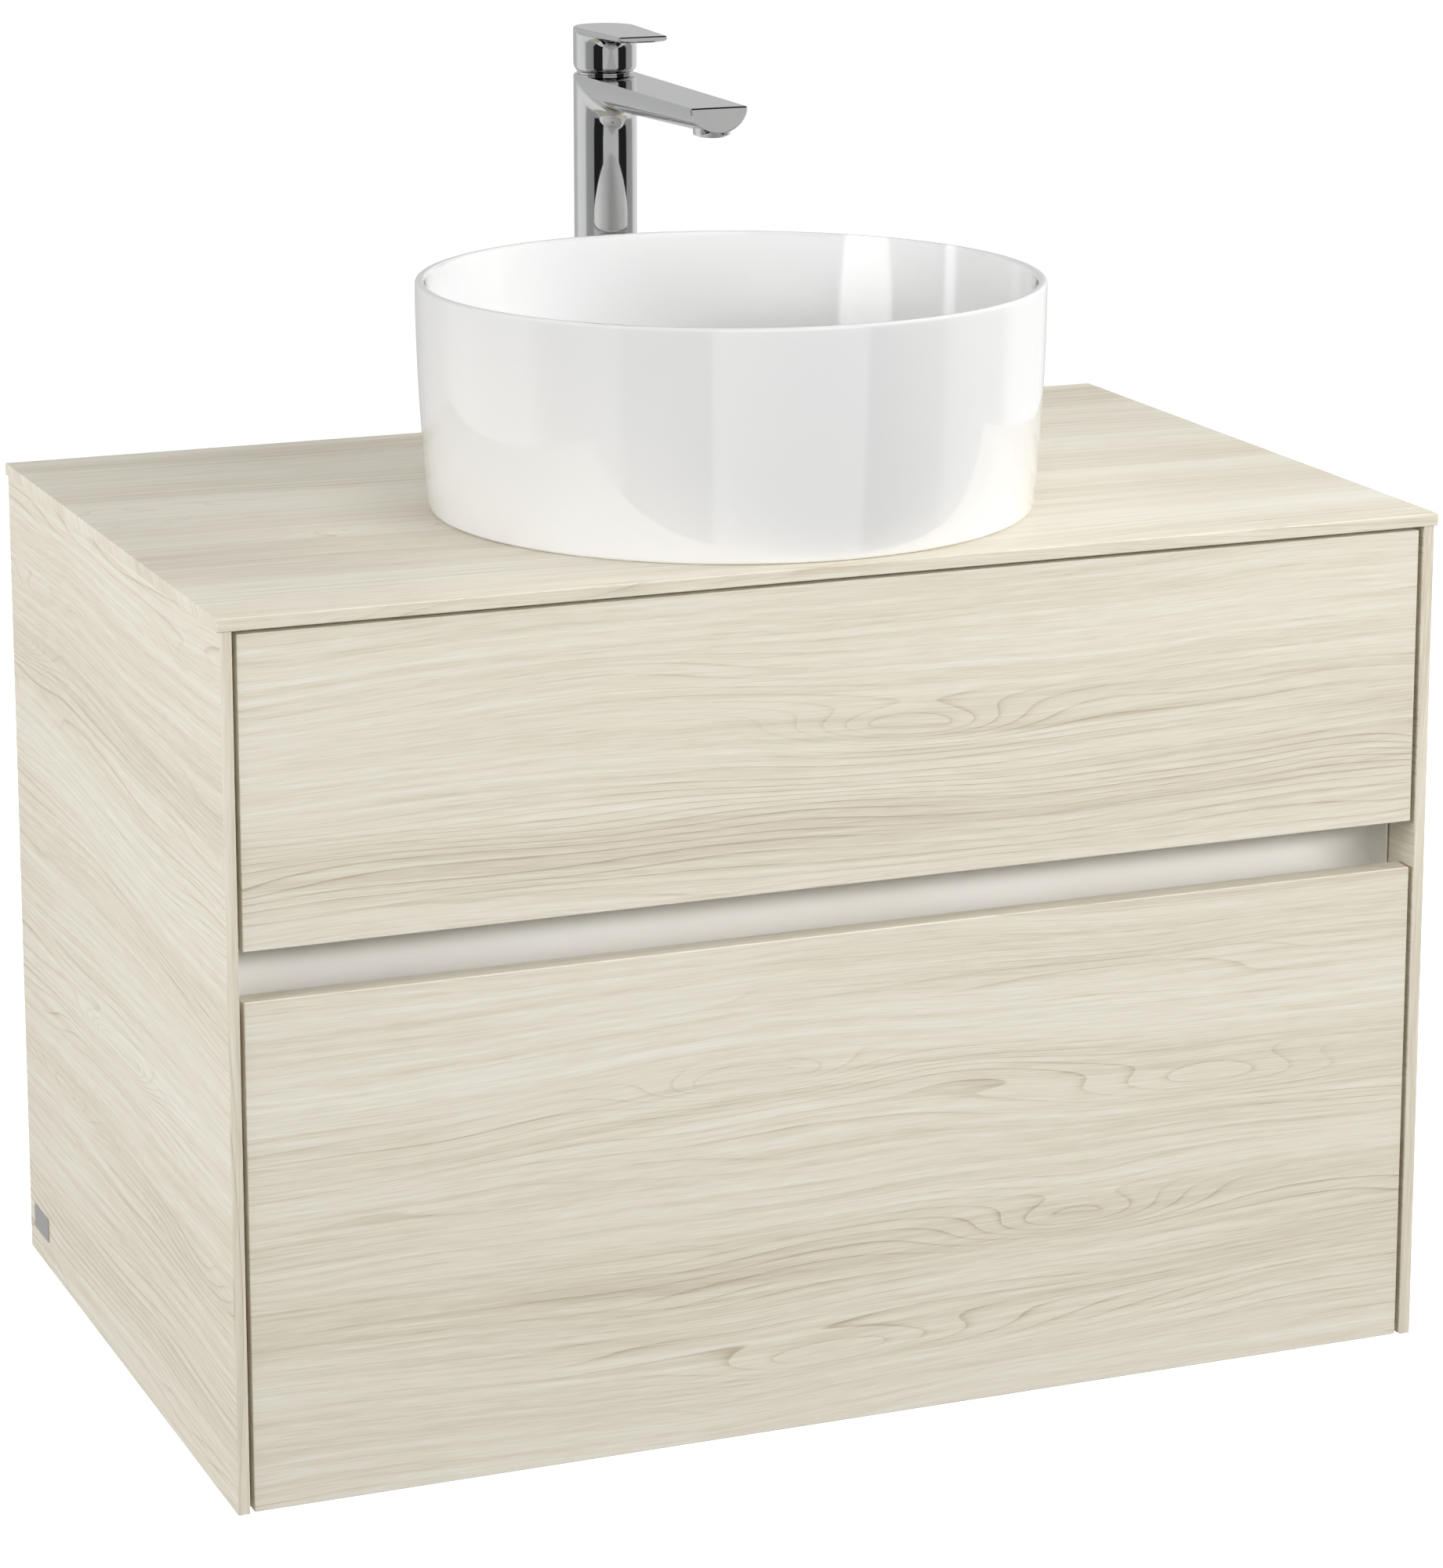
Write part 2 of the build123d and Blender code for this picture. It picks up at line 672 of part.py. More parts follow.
# Clamp plate: a crescent against the countertop's underside, clear of both inlets.
with BuildPart() as mounting_clamp:
    with BuildSketch(Plane.XY.offset(under_top - 3)):
        with Locations((0, tap_y)):
            Circle(26)
        with Locations((0, tap_y - 22)):
            Rectangle(60, 44, mode=Mode.SUBTRACT)
        with Locations(*inlet_places):
            Circle(7, mode=Mode.SUBTRACT)
        with Locations((0, stud_y)):
            Circle(stud_r, mode=Mode.SUBTRACT)
    extrude(amount=3)
keep(mounting_clamp, "mounting_clamp")

with BuildPart() as mounting_nut:
    with BuildSketch(Plane.XY.offset(under_top - 10)):
        with Locations((0, stud_y)):
            RegularPolygon(7.5, 6)
            Circle(stud_r, mode=Mode.SUBTRACT)
    extrude(amount=7)
keep(mounting_nut, "mounting_nut")

# Cartridge: its fixed housing, the ring nut that holds it, and the dome that hides both.
carrier_low = 243.4
carrier_r = 11.5
with BuildPart() as cartridge_body:
    ring_stack([(cartridge_low, 243, cartridge_r, 0)], tap_y)
keep(cartridge_body, "cartridge_body")

with BuildPart() as cartridge_nut:
    ring_stack([(243, 248.6, cartridge_r, carrier_r + 1)], tap_y)
keep(cartridge_nut, "cartridge_nut")

dome_r = 17.4
dome_wall = 1.4
with BuildPart() as dome_collar:
    with Locations((0, tap_y, top_z + pivot_height)):
        Sphere(dome_r)
        Sphere(dome_r - dome_wall, mode=Mode.SUBTRACT)
    split(bisect_by=Plane.XY.offset(top_z + body_height), keep=Keep.TOP)
    ring_stack([(body_height, body_height + 1.5, 19, dome_r - 1)], tap_y)
    with BuildSketch(Plane.XY.offset(top_z + body_height)):
        with Locations((0, tap_y)):
            Circle(12.2)
    extrude(amount=30, mode=Mode.SUBTRACT)
keep(dome_collar, "dome_collar")

# Stem carrier: turns in the cartridge with the lever. Its slot lets the stem tilt about the pin.
stem_size = 8.0
pin_r = 1.5
pin_y = tap_y
pin_plane = Plane((0, pin_y, top_z + pivot_height), x_dir=(0, 1, 0), z_dir=(1, 0, 0))
with BuildPart() as stem_carrier:
    ring_stack([(carrier_low, 256, carrier_r, 0)], tap_y)
    with BuildSketch(Plane.XY.offset(top_z + carrier_low)):
        with Locations((0, tap_y)):
            Rectangle(stem_size + 0.8, 17)
    extrude(amount=20, mode=Mode.SUBTRACT)
    with BuildSketch(pin_plane):
        Circle(pin_r)
    extrude(amount=carrier_r - 1, both=True, mode=Mode.SUBTRACT)
keep(stem_carrier, "stem_carrier")

with BuildPart() as stem_pin:
    with BuildSketch(pin_plane):
        Circle(pin_r)
    extrude(amount=carrier_r - 1, both=True)
keep(stem_pin, "stem_pin")

socket_low = 267.5
stem_top = 273.5
with BuildPart() as cartridge_stem:
    with BuildSketch(Plane.XY.offset(top_z + 245)):
        with Locations((0, tap_y)):
            Rectangle(stem_size, stem_size)
    extrude(amount=stem_top - 245)
    with BuildSketch(pin_plane):
        Circle(pin_r + 0.05)
    extrude(amount=stem_size, both=True, mode=Mode.SUBTRACT)
keep(cartridge_stem, "cartridge_stem")

# Lever: a round cap over the dome and a flat, tapering handle that leaves it tangentially.
cap_low = 252.3
tip_half = 16.9
tip_thick = 4.0
dome_play = 0.5
screw_height = 271.0
with BuildPart() as lever_handle:
    with BuildSketch(Plane.XY.offset(top_z + cap_low)):
        with Locations((0, tap_y)):
            Circle(tap_r)
    extrude(amount=lever_top - cap_low)
    chamfer(lever_handle.edges().group_by(Axis.Z)[0], 1.6)
    # The handle's plan, cut by its side profile: thin at the tip, swept down into the cap.
    with BuildPart(mode=Mode.PRIVATE) as handle:
        with BuildSketch(Plane.XY.offset(top_z + cap_low)):
            with BuildLine():
                Polyline(
                    (-tap_r, tap_y),
                    (-tip_half, tap_y - lever_reach),
                    (tip_half, tap_y - lever_reach),
                    (tap_r, tap_y),
                    close=True,
                )
            make_face()
        extrude(amount=lever_top - cap_low)
        with BuildSketch(Plane.YZ.offset(-30)):
            with BuildLine():
                tip = (tap_y - lever_reach, top_z + lever_top - tip_thick)
                bend = (tap_y - 36, top_z + lever_top - 6.5)
                root = (tap_y - 18, top_z + lever_top - 16)
                Polyline(root, (root[0], top_z + cap_low - 1), (tip[0] - 1, top_z + cap_low - 1), (tip[0] - 1, tip[1]))
                Line((tip[0] - 1, tip[1]), tip)
                Line(tip, bend)
                TangentArc(bend, root, tangent=(36, -2.5))
            make_face()
        extrude(amount=60, mode=Mode.SUBTRACT)
        with BuildSketch(Plane.XY.offset(top_z + cap_low)):
            with Locations((0, tap_y)):
                Circle(tap_r - 3)
        extrude(amount=lever_top - cap_low, mode=Mode.SUBTRACT)
    add(handle.part)
    # Hollow for the dome, clearance behind for the tilt, stem socket and screw hole.
    with Locations((0, tap_y, top_z + pivot_height)):
        Sphere(dome_r + dome_play, mode=Mode.SUBTRACT)
    with BuildSketch(Plane.XY.offset(top_z + cap_low)):
        with Locations((0, tap_y)):
            Circle(sqrt((dome_r + dome_play) ** 2 - (cap_low - pivot_height) ** 2))
    extrude(amount=-5, mode=Mode.SUBTRACT)
    with BuildSketch(Plane.YZ.offset(-30)):
        with BuildLine():
            rise = tan(radians(lift_angle)) * 30
            Polyline(
                (tap_y, top_z + cap_low - 5),
                (tap_y, top_z + cap_low),
                (tap_y + 30, top_z + cap_low + rise),
                (tap_y + 30, top_z + cap_low - 5),
                close=True,
            )
        make_face()
    extrude(amount=60, mode=Mode.SUBTRACT)
    with BuildSketch(Plane.XY.offset(top_z + cap_low)):
        with Locations((0, tap_y)):
            Rectangle(stem_size, stem_size)
    extrude(amount=stem_top - cap_low, mode=Mode.SUBTRACT)
    with BuildSketch(Plane((0, tap_y, top_z + screw_height), x_dir=(1, 0, 0), z_dir=(0, 1, 0))):
        Circle(2.5)
    extrude(amount=30, mode=Mode.SUBTRACT)
keep(lever_handle, "lever_handle")

# Set screw against the stem, and the plug that closes its hole at the back of the cap.
with BuildPart() as lever_screw_and_plug:
    for start, length in ((stem_size / 2, 8.0), (tap_r - 4, 3.6)):
        with BuildSketch(Plane((0, tap_y + start, top_z + screw_height), x_dir=(1, 0, 0), z_dir=(0, 1, 0))):
            Circle(2.5)
        extrude(amount=length)
keep(lever_screw_and_plug, "lever_screw_and_plug")

# Aerator: a ring screwed into the boss, with a plastic insert.
with BuildPart() as aerator_housing:
    ring_stack([(230, 239, aerator_bore, 7)], aerator_y)
keep(aerator_housing, "aerator_housing")

with BuildPart() as aerator_insert:
    ring_stack([(230.6, 237, 7, 0)], aerator_y)
    with BuildSketch(Plane.XY.offset(top_z + 230.6)):
        with Locations((0, aerator_y)):
            with PolarLocations(4.2, 8):
                Circle(0.9)
            with PolarLocations(1.9, 4):
                Circle(0.7)
    extrude(amount=7, mode=Mode.SUBTRACT)
keep(aerator_insert, "aerator_insert")
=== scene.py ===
import math

import bmesh
import bpy
import numpy as np
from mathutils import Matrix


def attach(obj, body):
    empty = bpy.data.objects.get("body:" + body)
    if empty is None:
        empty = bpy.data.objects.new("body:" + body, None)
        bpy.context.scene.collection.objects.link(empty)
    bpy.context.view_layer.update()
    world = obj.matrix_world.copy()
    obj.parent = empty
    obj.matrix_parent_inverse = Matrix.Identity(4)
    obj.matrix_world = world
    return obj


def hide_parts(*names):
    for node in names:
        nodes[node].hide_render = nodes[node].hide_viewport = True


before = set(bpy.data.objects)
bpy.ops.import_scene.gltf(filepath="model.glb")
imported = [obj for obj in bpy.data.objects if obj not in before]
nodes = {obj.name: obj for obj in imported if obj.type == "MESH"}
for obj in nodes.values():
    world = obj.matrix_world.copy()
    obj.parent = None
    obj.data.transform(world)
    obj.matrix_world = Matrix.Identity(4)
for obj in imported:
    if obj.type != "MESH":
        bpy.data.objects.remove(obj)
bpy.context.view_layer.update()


def add(tree, kind, inputs=None, **settings):
    """Add one shader node. An input is a number, a colour, or the socket that feeds it."""
    made = tree.nodes.new(kind)
    for key, value in settings.items():
        setattr(made, key, value)
    for key, value in (inputs or {}).items():
        if isinstance(value, bpy.types.NodeSocket):
            tree.links.new(value, made.inputs[key])
        else:
            made.inputs[key].default_value = value
    return made


def calc(tree, operation, *values):
    """One step of arithmetic between numbers and sockets, such as ADD, MULTIPLY or FRACT."""
    return add(tree, "ShaderNodeMath", dict(enumerate(values)), operation=operation).outputs[0]


def finish_of(name, roughness, metallic=0.0, **sockets):
    """Start a material: its tree, its surface shader, and the point in the piece's own space."""
    material = bpy.data.materials.new(name)
    material.use_nodes = True
    tree = material.node_tree
    surface = tree.nodes["Principled BSDF"]
    surface.inputs["Roughness"].default_value = roughness
    surface.inputs["Metallic"].default_value = metallic
    for key, value in sockets.items():
        surface.inputs[key.replace("_", " ")].default_value = value
    point = tree.nodes.new("ShaderNodeTexCoord").outputs["Object"]
    return material, tree, surface, point


def tone(red, green, blue):
    """A colour given as it is seen, 0 to 255, as the linear colour that the shader takes."""
    seen = np.array([red, green, blue]) / 255
    linear = np.where(seen <= 0.04045, seen / 12.92, ((seen + 0.055) / 1.055) ** 2.4)
    return (*linear.tolist(), 1.0)


def shades(tree, surface, pattern, *stops):
    """Colour a surface by a pattern: each stop is its place from 0 to 1 and the tone seen there."""
    ramp = add(tree, "ShaderNodeValToRGB", {"Fac": pattern})
    row = ramp.color_ramp.elements
    while len(row) < len(stops):
        row.new(0.5)
    for element, (place, seen) in zip(row, stops):
        element.position = place
        element.color = tone(*seen)
    tree.links.new(ramp.outputs[0], surface.inputs["Base Color"])


def raised(tree, surface, pattern, strength, height=0.0001):
    """Let a pattern stand up from the surface, by at most height, in metres."""
    bump = {"Height": pattern, "Strength": strength, "Distance": height}
    tree.links.new(add(tree, "ShaderNodeBump", bump).outputs[0], surface.inputs["Normal"])


def streaks(tree, along, across, seed, stretch, detail=2.0, rough=0.5):
    """Noise drawn out along the grain: stretch is how many patches a metre, along and across."""
    spot = {
        "X": calc(tree, "MULTIPLY", along, stretch[0]),
        "Y": calc(tree, "MULTIPLY", across, stretch[1]),
        "Z": seed,
    }
    spot = add(tree, "ShaderNodeCombineXYZ", spot).outputs[0]
    noise = {"Vector": spot, "Scale": 1.0, "Detail": detail, "Roughness": rough}
    return add(tree, "ShaderNodeTexNoise", noise).outputs[0]


def shifted(tree, value, noise, reach):
    """A value moved by reach times how far the noise is from its middle, 0.5."""
    return calc(tree, "MULTIPLY_ADD", calc(tree, "SUBTRACT", noise, 0.5), reach, value)


def ranged(tree, value, low, high, at_low=0.0, at_high=1.0):
    """A value's range from low to high carried over to another range, and held beyond its ends."""
    ends = {"Value": value, "From Min": low, "From Max": high, "To Min": at_low, "To Max": at_high}
    return add(tree, "ShaderNodeMapRange", ends).outputs[0]


def laminate(name, grain, seed, strength=1.0):
    """Printed wood. Grain is X or Y for the faces; the edges of an upright board run up it.

    The growth lines are the whole-number contours of a field that rises steadily across the grain
    and is bent by drawn-out noise, so they flow together, part, and close round small knots. Broad
    soft bands, narrow streaks and fine pores lie over them.
    """
    material, tree, surface, point = finish_of(name, 0.42)
    place = add(tree, "ShaderNodeSeparateXYZ", {"Vector": point}).outputs
    if grain == "X":
        along = place["X"]
        across = calc(tree, "SUBTRACT", place["Z"], place["Y"])
    else:
        facing = add(tree, "ShaderNodeTexCoord").outputs["Normal"]
        facing = add(tree, "ShaderNodeSeparateXYZ", {"Vector": facing}).outputs["Y"]
        edge = calc(tree, "GREATER_THAN", calc(tree, "ABSOLUTE", facing), 0.6)
        up_edge = calc(tree, "SUBTRACT", place["Z"], place["Y"])
        along = calc(tree, "MULTIPLY_ADD", edge, up_edge, place["Y"])
        turned = {"Factor": edge, "A": place["Z"], "B": place["X"]}
        across = add(tree, "ShaderNodeMix", turned).outputs[0]
    # The field is in growth lines: so many a metre, and the noise and the knots each add a few.
    lines_a_metre, swell_lines, knot_lines = 170.0, 8.0, 5.0
    sway_reach, ripple_reach = 0.065, 0.011
    sway = streaks(tree, along, across, seed, (1.3, 3.0), 1.0)
    ripple = streaks(tree, along, across, seed + 3.1, (4.5, 15.0), 1.0)
    bent = shifted(tree, shifted(tree, across, sway, sway_reach), ripple, ripple_reach)
    swell = streaks(tree, along, bent, seed + 7.7, (2.6, 24.0), 1.0)
    steady = calc(tree, "MULTIPLY", bent, lines_a_metre)
    field = calc(tree, "MULTIPLY_ADD", swell, swell_lines, steady)
    knot_at = {
        "X": calc(tree, "MULTIPLY_ADD", along, 2.6, seed * 1.7),
        "Y": calc(tree, "MULTIPLY_ADD", bent, 15.0, seed * 0.6),
        "Z": 0.5,
    }
    knot_at = add(tree, "ShaderNodeCombineXYZ", knot_at).outputs[0]
    knot = add(tree, "ShaderNodeTexVoronoi", {"Vector": knot_at, "Scale": 1.0}).outputs["Distance"]
    knot = calc(tree, "POWER", ranged(tree, knot, 0.13, 0.5, 1.0, 0.0), 3.0)
    field = calc(tree, "MULTIPLY_ADD", knot, knot_lines, field)
    # Each line darkens slowly from its light side and ends at once, as late wood does.
    year = calc(tree, "FRACT", field)
    sudden_end = calc(tree, "SUBTRACT", 1.0, calc(tree, "POWER", year, 60.0))
    line = calc(tree, "MULTIPLY", calc(tree, "POWER", year, 9.0), sudden_end)
    printed = ranged(tree, streaks(tree, along, bent, seed + 11.3, (2.2, 19.0)), 0.42, 0.68)
    bands = streaks(tree, along, bent, seed + 17.9, (0.5, 13.0), 3.0)
    narrow = streaks(tree, along, bent, seed + 23.3, (3.0, 210.0), 5.0, 0.75)
    pores = streaks(tree, along, bent, seed + 29.1, (30.0, 900.0), 2.0, 0.7)
    level = shifted(tree, 0.60, bands, 0.95 * strength)
    level = shifted(tree, level, narrow, 1.35 * strength)
    level = shifted(tree, level, pores, 0.75 * strength)
    line = calc(tree, "MULTIPLY", line, printed)
    level = calc(tree, "MULTIPLY_ADD", line, -0.95 * strength, level)
    shades(
        tree, surface, level,
        (0.0, (202, 189, 166)), (0.3, (226, 216, 196)), (0.6, (240, 233, 215)),
        (0.85, (248, 243, 229)), (1.0, (252, 249, 238)),
    )
    raised(tree, surface, level, 0.25, 0.0002)
    return material


def dress(material, *names):
    """Give CAD nodes their finish."""
    for name in names:
        mesh = nodes[name].data
        mesh.materials.clear()
        mesh.materials.append(material)


carcass_side_board = laminate("carcass side board", "Y", 41.0, 0.7)
carcass_flat_board = laminate("carcass board", "X", 47.0, 0.7)
dress(carcass_side_board, "carcass_side_left", "carcass_side_right")
dress(carcass_flat_board, "carcass_top", "carcass_bottom", "back_rail_upper", "back_rail_lower")

# ------------------------------------------------------------------------------------------------
# Screws, hangers, wall plates, brackets and drawer runners: pressed or rolled steel, zinc plated.
# The zinc shows as a cool grey with a faint crystal pattern and fine lines from the rolling.
# ------------------------------------------------------------------------------------------------


def uneven_gloss(tree, surface, pattern, least, spread):
    """Roughness that rises with a pattern from least, by spread."""
    rough = calc(tree, "MULTIPLY_ADD", pattern, spread, least)
    tree.links.new(rough, surface.inputs["Roughness"])


zinc, tree, surface, point = finish_of("zinc-plated steel", 0.34, 1.0)
crystals = add(tree, "ShaderNodeTexVoronoi", {"Vector": point, "Scale": 210.0}).outputs["Color"]
crystals = add(tree, "ShaderNodeSeparateColor", {"Color": crystals}).outputs[0]
place = add(tree, "ShaderNodeSeparateXYZ", {"Vector": point}).outputs
rolled = streaks(tree, place["Y"], place["Z"], 3.0, (14.0, 1500.0))
plated = calc(tree, "MULTIPLY_ADD", crystals, 0.35, calc(tree, "MULTIPLY", rolled, 0.65))
shades(tree, surface, plated, (0.15, (158, 163, 168)), (0.85, (206, 209, 211)))
uneven_gloss(tree, surface, plated, 0.24, 0.22)
dress(
    zinc,
    "carcass_screws", "wall_plates", "cabinet_hangers", "channel_brackets",
    "upper_front_brackets", "lower_front_brackets", "runner_cabinet_rails",
    "upper_runner_middle_rails", "lower_runner_middle_rails",
    "upper_runner_drawer_rails", "lower_runner_drawer_rails",
    "mounting_stud", "mounting_clamp", "mounting_nut", "stem_pin", "lever_screw_and_plug",
)

# ------------------------------------------------------------------------------------------------
# Handle channel and its end caps: a rolled aluminium section behind the gap between the fronts,
# powder coated a warm satin white, with a plastic cap let into each end.
# ------------------------------------------------------------------------------------------------


def mottle(tree, point, patches, detail=1.0):
    """Even noise through the solid, with about so many patches a metre."""
    noise = {"Vector": point, "Scale": patches, "Detail": detail}
    return add(tree, "ShaderNodeTexNoise", noise).outputs[0]


channel_white, tree, surface, point = finish_of("white powder coat", 0.38)
cloudy = mottle(tree, point, 9.0, 2.0)
shades(tree, surface, cloudy, (0.3, (246, 243, 237)), (0.7, (250, 248, 243)))
raised(tree, surface, mottle(tree, point, 700.0), 0.15)

mm = 0.001
channel_end = 388.0
lip_y, back_y, wall = -466.0, -432.0, 1.5
channel_top, channel_low = -116.5, -175.0
bend_r, cove_r = 18.0, 9.0


def skin(name, points, faces, material, sharp=30.0):
    """A mesh object from points in millimetres and quads, its seams welded, shaded smooth."""
    mesh = bpy.data.meshes.new(name)
    mesh.from_pydata((points * mm).tolist(), [], faces.tolist())
    shell = bmesh.new()
    shell.from_mesh(mesh)
    bmesh.ops.remove_doubles(shell, verts=shell.verts, dist=1e-6)
    bmesh.ops.dissolve_degenerate(shell, dist=1e-7, edges=shell.edges)
    bmesh.ops.recalc_face_normals(shell, faces=shell.faces)
    shell.to_mesh(mesh)
    shell.free()
    mesh.shade_smooth()
    mesh.set_sharp_from_angle(angle=math.radians(sharp))
    mesh.materials.append(material)
    made = bpy.data.objects.new(name, mesh)
    bpy.context.scene.collection.objects.link(made)
    return made


def grid_faces(rows, columns, first=0):
    """Quads between neighbours of a grid of points stored row by row."""
    index = first + np.arange(rows * columns).reshape(rows, columns)
    corners = [index[:-1, :-1], index[:-1, 1:], index[1:, 1:], index[1:, :-1]]
    return np.stack(corners, axis=-1).reshape(-1, 4)


def bend(centre, radius, first, last, steps=14):
    """Points of an arc: its centre plus radius times cosine and sine, 0 degrees to the rear."""
    angle = np.radians(np.linspace(first, last, steps))
    y = centre[0] + radius * np.cos(angle)
    z = centre[1] + radius * np.sin(angle)
    return np.stack([y, z], axis=1)


def coved(x, y, face):
    """Distance forward at x for a section point at y; face is 1 on the white face, else 0.

    It is the cove's radius less the height of its quarter circle there, and fades to nothing at
    the lip.
    """
    into = np.clip(np.abs(x) - channel_end + cove_r, 0, cove_r)
    return face * (cove_r - np.sqrt(cove_r**2 - into**2)) * (y - lip_y) / (back_y - lip_y)


# The section is two runs of points, the white face and its back, a wall thickness apart.
upper_c = (back_y - bend_r, channel_top - wall - bend_r)
lower_c = (back_y - bend_r, channel_low + wall + bend_r)
runs = [
    np.vstack([
        [(lip_y, upper_c[1] + bend_r + out)],
        bend(upper_c, bend_r + out, 90, 0),
        bend(lower_c, bend_r + out, 0, -90),
        [(lip_y, lower_c[1] - bend_r - out)],
    ])
    for out in (0.0, wall)
]
loop = np.vstack([runs[0], runs[1][::-1], runs[0][:1]])
is_face = np.concatenate([np.ones(len(runs[0])), np.zeros(len(runs[1])), np.ones(1)])
inward = cove_r * np.linspace(0, 1, 12)
length_x = np.concatenate([inward - channel_end, channel_end - inward[::-1]])[:, None]
points = np.stack(
    [
        np.repeat(length_x, len(loop), axis=1),
        loop[:, 0] - coved(length_x, loop[:, 0], is_face),
        np.repeat(loop[None, :, 1], len(length_x), axis=0),
    ],
    axis=-1,
).reshape(-1, 3)
faces = [grid_faces(len(length_x), len(loop))]
for end in (-channel_end, channel_end):
    lid = np.vstack([
        np.column_stack([
            np.full(len(run), end), run[:, 0] - coved(end, run[:, 0], face), run[:, 1],
        ])
        for face, run in zip((1, 0), runs)
    ])
    faces.append(grid_faces(2, len(runs[0]), len(points)))
    points = np.vstack([points, lid])
channel = skin("handle_channel_section", points, np.vstack(faces), channel_white)
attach(channel, "cabinet")
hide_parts("handle_channel")

cap_plastic, tree, surface, point = finish_of("white moulded plastic", 0.5)
spark = mottle(tree, point, 1400.0)
shades(tree, surface, spark, (0.3, (243, 239, 231)), (0.7, (248, 245, 239)))
raised(tree, surface, spark, 0.2)
dress(cap_plastic, "channel_end_caps")

# ------------------------------------------------------------------------------------------------
# Drawer boxes: 12 mm sides and back, an 8 mm floor. Chipboard faced with a light grey linen print,
# screwed and glued. The wall round the trap is one strip of bent grey plastic.
# ------------------------------------------------------------------------------------------------
linen, tree, surface, point = finish_of("grey linen melamine", 0.5)
place = add(tree, "ShaderNodeSeparateXYZ", {"Vector": point}).outputs
level_threads = calc(tree, "ADD", place["X"], place["Y"])
upright_threads = calc(tree, "ADD", place["Z"], calc(tree, "MULTIPLY", place["Y"], 0.5))
warp = streaks(tree, level_threads, upright_threads, 2.0, (60.0, 1500.0))
weft = streaks(tree, upright_threads, level_threads, 5.0, (60.0, 1500.0))
woven = calc(tree, "MULTIPLY", calc(tree, "ADD", warp, weft), 0.5)
shades(tree, surface, woven, (0.3, (168, 166, 160)), (0.7, (196, 194, 188)))
raised(tree, surface, woven, 0.2)
for drawer in ("upper", "lower"):
    for part in ("side_left", "side_right", "back", "floor"):
        dress(linen, f"{drawer}_drawer_{part}")

grey_plastic, tree, surface, point = finish_of("grey moulded plastic", 0.45)
grained = mottle(tree, point, 1100.0, 2.0)
shades(tree, surface, grained, (0.3, (142, 143, 144)), (0.7, (156, 157, 158)))
raised(tree, surface, grained, 0.3)
dress(grey_plastic, "upper_drawer_bay_wall", "waste_nut", "cartridge_body", "stem_carrier")

# ------------------------------------------------------------------------------------------------
# Drawer fronts, end panels and countertop: boards in a pale printed wood with long flowing grain,
# edges banded to match. The fronts and top run side to side, the end panels front to back.
# ------------------------------------------------------------------------------------------------
dress(laminate("upper front board", "X", 5.0), "upper_drawer_front")
dress(laminate("lower front board", "X", 13.0), "lower_drawer_front")
dress(laminate("left end panel board", "Y", 23.0), "end_panel_left")
dress(laminate("right end panel board", "Y", 29.0), "end_panel_right")
dress(laminate("countertop board", "X", 31.0), "countertop")

# ------------------------------------------------------------------------------------------------
# Badge: a small blank plate of aluminium, brushed front to back, stuck low on the left end panel
# near the wall.
# ------------------------------------------------------------------------------------------------
brushed, tree, surface, point = finish_of("brushed aluminium", 0.36, 1.0)
place = add(tree, "ShaderNodeSeparateXYZ", {"Vector": point}).outputs
hairlines = streaks(tree, place["Y"], place["Z"], 1.0, (40.0, 6000.0), 3.0)
shades(tree, surface, hairlines, (0.3, (176, 174, 171)), (0.7, (204, 202, 199)))
uneven_gloss(tree, surface, hairlines, 0.25, 0.25)
dress(brushed, "badge_plate")

# ------------------------------------------------------------------------------------------------
# Basin: a round vessel of glazed fireclay, slip cast, glazed all over but for its foot. Its wall
# leans out by a few millimetres and bulges a hair; the rim is 6 mm thick with soft edges.
# ------------------------------------------------------------------------------------------------
glaze, tree, surface, point = finish_of(
    "white glaze", 0.02, IOR=1.65, Coat_Weight=1.0, Coat_Roughness=0.01
)
pooled = mottle(tree, point, 7.0, 3.0)
shades(tree, surface, pooled, (0.3, (237, 237, 237)), (0.7, (240, 240, 239)))
raised(tree, surface, mottle(tree, point, 16.0), 0.03, 0.0008)


def corner(before, at, after, radius, steps=8):
    """Points of the arc that rounds a corner of a profile, tangent to both its sides.

    Its centre is on the line that halves the corner, as far off as the radius over the sine of
    half the angle. It starts and ends as far off as the radius over that half's tangent.
    """
    at = np.array(at, float)
    back = np.array(before, float) - at
    ahead = np.array(after, float) - at
    back /= np.linalg.norm(back)
    ahead /= np.linalg.norm(ahead)
    half = math.acos(np.clip(back @ ahead, -1, 1)) / 2
    middle = (back + ahead) / np.linalg.norm(back + ahead)
    centre = at + middle * radius / math.sin(half)
    start = at + back * radius / math.tan(half) - centre
    stop = at + ahead * radius / math.tan(half) - centre
    first = math.atan2(start[1], start[0])
    sweep = (math.atan2(stop[1], stop[0]) - first + math.pi) % (2 * math.pi) - math.pi
    angles = first + sweep * np.linspace(0, 1, steps)
    return centre + radius * np.stack([np.cos(angles), np.sin(angles)], axis=1)


def turn(name, profile, axis_xy, material, segments=160, sharp=30.0):
    """Carry a closed profile once round an upright axis.

    A point (radius, height) of the profile keeps its height and goes round the axis at its
    radius, by the radius times the cosine and sine of the angle.
    """
    profile = np.vstack([profile, profile[:1]])
    angle = np.linspace(0, 2 * np.pi, segments + 1)
    radius, height = profile[:, 0], profile[:, 1]
    points = np.stack(
        [
            axis_xy[0] + radius[:, None] * np.cos(angle),
            axis_xy[1] + radius[:, None] * np.sin(angle),
            np.repeat(height[:, None], segments + 1, axis=1),
        ],
        axis=-1,
    ).reshape(-1, 3)
    return skin(name, points, grid_faces(len(profile), segments + 1), material, sharp)


